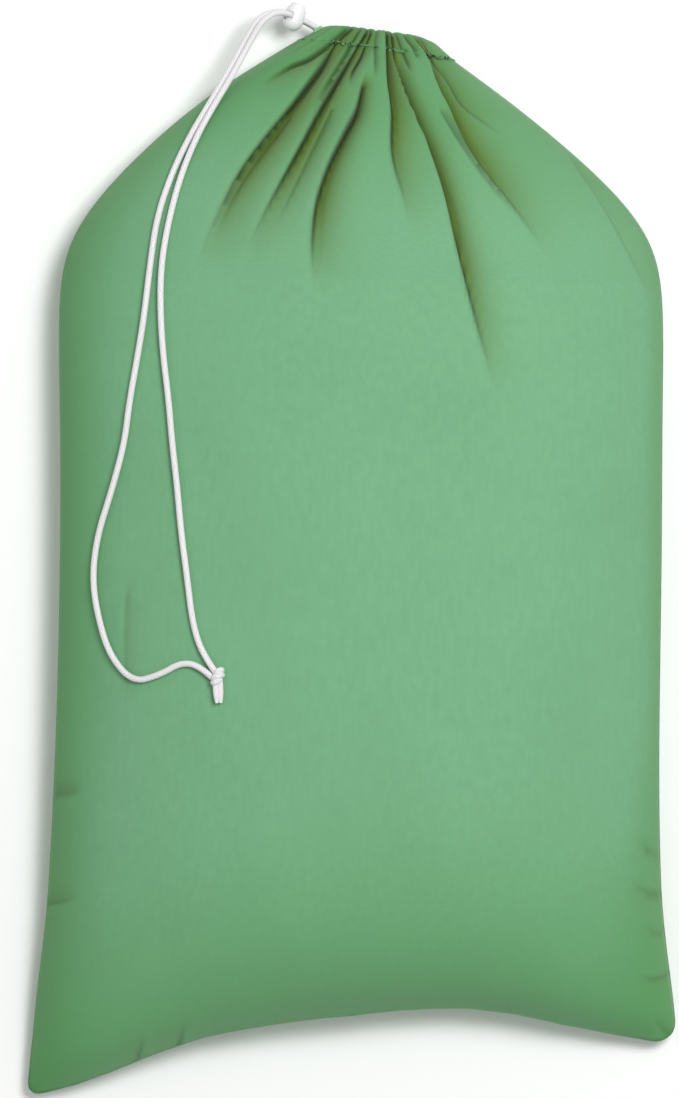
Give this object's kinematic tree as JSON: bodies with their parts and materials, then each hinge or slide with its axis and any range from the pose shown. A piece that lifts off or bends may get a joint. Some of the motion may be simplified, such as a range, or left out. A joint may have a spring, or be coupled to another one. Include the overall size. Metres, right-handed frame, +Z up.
{
  "type": "laundry bag",
  "caption": "Stuffed drawstring laundry bag lying on its back, mouth drawn in by a braided cord with a spring cord lock.",
  "frame": {"origin": "on the floor, under the middle of the box round the bag without its cords", "axes": "+Z up out of the bag's front face, +Y from the bottom seam towards the mouth, +X to the bag's right as its front face is seen"},
  "size_m": [0.5886, 0.9996, 0.1706],
  "materials": {
    "green_cotton": "matte",
    "green_thread": "matte",
    "white_cord": "matte",
    "white_plastic": "satin",
    "spring_steel": "satin"
  },
  "bodies": {
    "bag": {"front_panel": "green_cotton", "back_panel": "green_cotton", "left_seam_overlock": "green_thread", "right_seam_overlock": "green_thread", "bottom_seam_overlock": "green_thread", "front_casing": "green_cotton", "back_casing": "green_cotton", "casing_stitching": "green_thread", "exit_bartacks": "green_thread", "drawstring_in_casing": "white_cord", "drawstring_right_strand": "white_cord", "drawstring_left_strand": "white_cord", "end_knot": "white_cord"},
    "cord_lock": {"lock_barrel": "white_plastic", "lock_spring": "spring_steel"},
    "lock_button": {"lock_plunger": "white_plastic"}
  },
  "joints": [
    {"name": "lock_slide", "type": "slide", "parent": "bag", "child": "cord_lock", "axis": [-0.7026, 0.2387, 0.6704], "range_m": [-0.006, 0.006]},
    {"name": "button_press", "type": "slide", "parent": "cord_lock", "child": "lock_button", "axis": [-0.3342, -0.9424, -0.0147], "range_m": [0, 0.003], "stiffness_N_per_m": 600, "springref_m": -0.002, "deforming": ["lock_spring"]}
  ]
}
